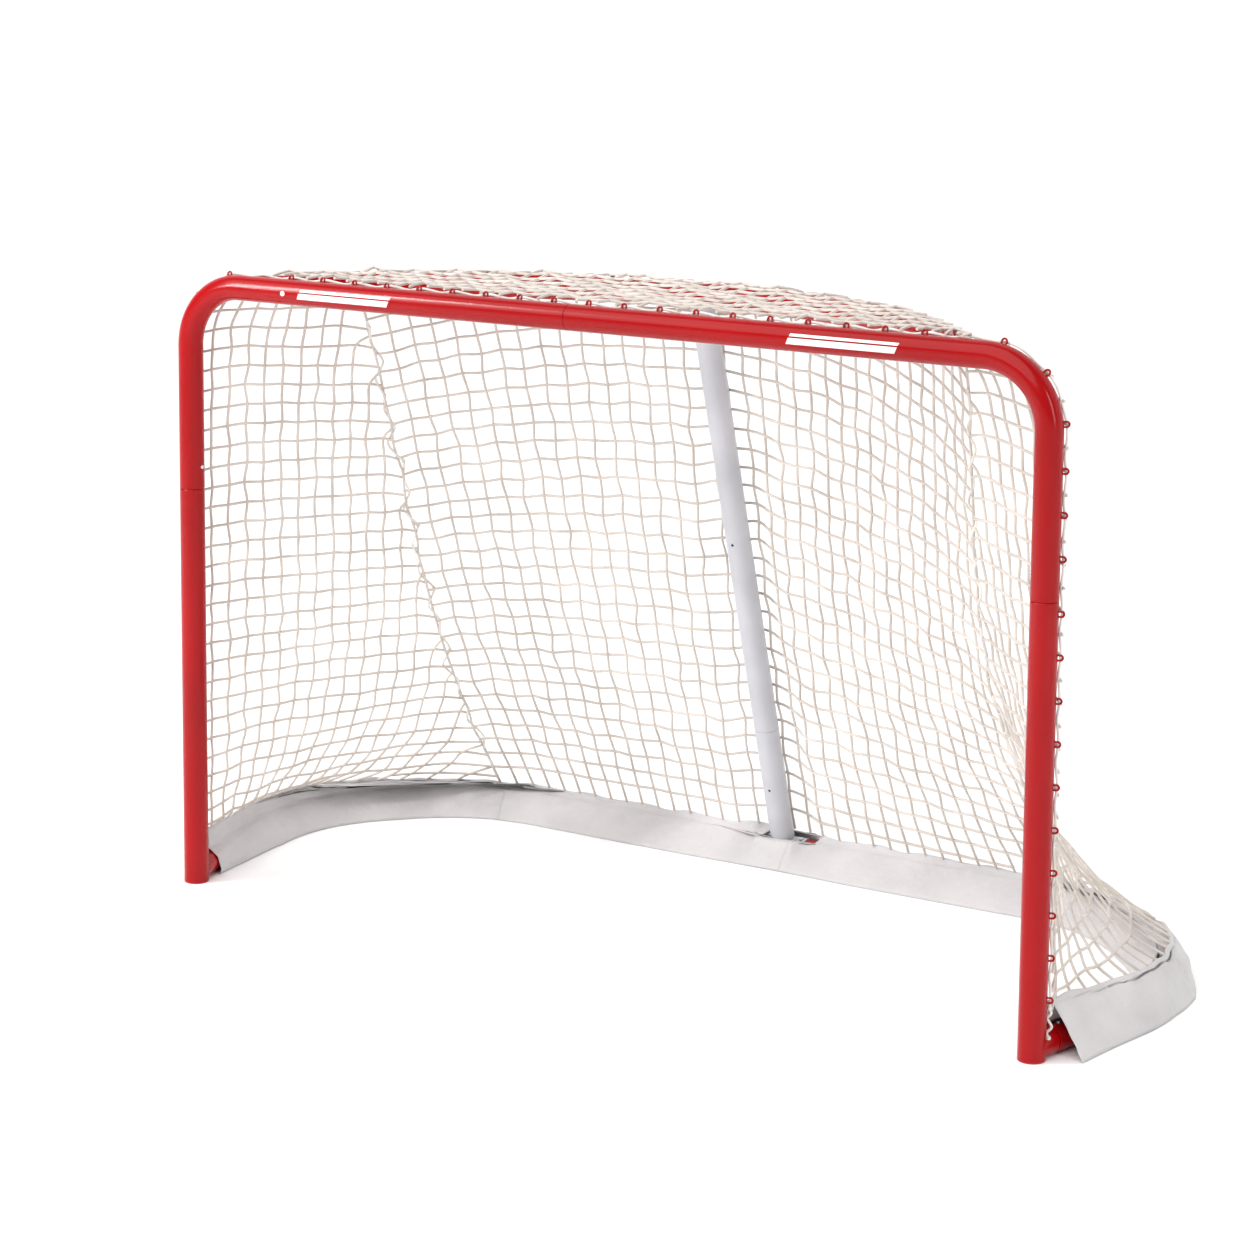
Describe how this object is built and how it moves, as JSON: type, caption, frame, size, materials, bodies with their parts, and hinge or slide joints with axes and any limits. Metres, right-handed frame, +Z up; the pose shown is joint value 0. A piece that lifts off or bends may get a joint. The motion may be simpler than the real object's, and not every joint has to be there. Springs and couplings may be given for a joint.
{
  "type": "hockey goal",
  "caption": "Free-standing hockey goal: a red steel tube frame with a rounded base, a bowed top shelf and a white centre support, hung with a laced cord net and a kick skirt.",
  "frame": {"origin": "on the floor under the middle of the goal's width and depth", "axes": "+X to the right seen from the front, +Y to the back of the goal, +Z up"},
  "size_m": [2.1538, 0.8939, 1.2789],
  "materials": {
    "button_steel": "plated steel",
    "lacing_cord": "braided off-white cord",
    "net_cord": "knotted off-white cord",
    "red_enamel": "glossy red powder coat",
    "red_plastic": "moulded red",
    "screw_steel": "zinc plated",
    "skirt_cloth": "coated off-white cloth",
    "spring_steel": "spring steel",
    "white_enamel": "satin white powder coat",
    "white_plastic": "moulded white"
  },
  "bodies": {
    "frame": {"back_net": "net_cord", "edge_lacing_cord": "lacing_cord", "left_base_eyelets": "red_enamel", "left_base_stub": "red_enamel", "left_base_tube": "red_enamel", "left_corner_eyelets": "red_enamel", "left_corner_tube": "red_enamel", "left_crossbar_eyelets": "red_enamel", "left_foot_cap": "red_plastic", "left_post_eyelets": "red_enamel", "left_post_tube": "red_enamel", "left_rear_skirt": "skirt_cloth", "left_seam_cord": "lacing_cord", "left_shelf_stub": "red_enamel", "left_shelf_tube": "red_enamel", "left_side_net": "net_cord", "left_skirt": "skirt_cloth", "right_base_eyelets": "red_enamel", "right_base_stub": "red_enamel", "right_base_tube": "red_enamel", "right_corner_eyelets": "red_enamel", "right_corner_tube": "red_enamel", "right_crossbar_eyelets": "red_enamel", "right_foot_cap": "red_plastic", "right_post_eyelets": "red_enamel", "right_post_tube": "red_enamel", "right_rear_skirt": "skirt_cloth", "right_seam_cord": "lacing_cord", "right_shelf_stub": "red_enamel", "right_shelf_tube": "red_enamel", "right_side_net": "net_cord", "right_skirt": "skirt_cloth", "saddle_screws": "screw_steel", "shelf_screws": "screw_steel", "support_foot_saddle": "white_enamel", "support_lower_tube": "white_enamel", "support_top_saddle": "white_enamel", "support_upper_tube": "white_enamel", "top_net": "net_cord", "vent_plug": "white_plastic"},
    "crossbar_button": {"crossbar_button": "button_steel", "crossbar_button_spring": "spring_steel"},
    "left_base_button": {"left_base_button": "button_steel", "left_base_button_spring": "spring_steel"},
    "left_post_button": {"left_post_button": "button_steel", "left_post_button_spring": "spring_steel"},
    "right_base_button": {"right_base_button": "button_steel", "right_base_button_spring": "spring_steel"},
    "right_post_button": {"right_post_button": "button_steel", "right_post_button_spring": "spring_steel"},
    "support_button": {"support_button": "button_steel", "support_button_spring": "spring_steel"}
  },
  "joints": [
    {"name": "left_post_button_press", "type": "slide", "parent": "frame", "child": "left_post_button", "axis": [-1, 0, 0], "range_m": [0, 0.00475], "stiffness_N_per_m": 800, "springref_m": -0.002},
    {"name": "right_post_button_press", "type": "slide", "parent": "frame", "child": "right_post_button", "axis": [1, 0, 0], "range_m": [0, 0.00475], "stiffness_N_per_m": 800, "springref_m": -0.002},
    {"name": "left_base_button_press", "type": "slide", "parent": "frame", "child": "left_base_button", "axis": [0, 0, -1], "range_m": [0, 0.00475], "stiffness_N_per_m": 800, "springref_m": -0.002},
    {"name": "right_base_button_press", "type": "slide", "parent": "frame", "child": "right_base_button", "axis": [0, 0, -1], "range_m": [0, 0.00475], "stiffness_N_per_m": 800, "springref_m": -0.002},
    {"name": "crossbar_button_press", "type": "slide", "parent": "frame", "child": "crossbar_button", "axis": [0, 0, 1], "range_m": [0, 0.00475], "stiffness_N_per_m": 800, "springref_m": -0.002},
    {"name": "support_button_press", "type": "slide", "parent": "frame", "child": "support_button", "axis": [0, -0.9547, -0.2976], "range_m": [0, 0.00475], "stiffness_N_per_m": 800, "springref_m": -0.002}
  ]
}
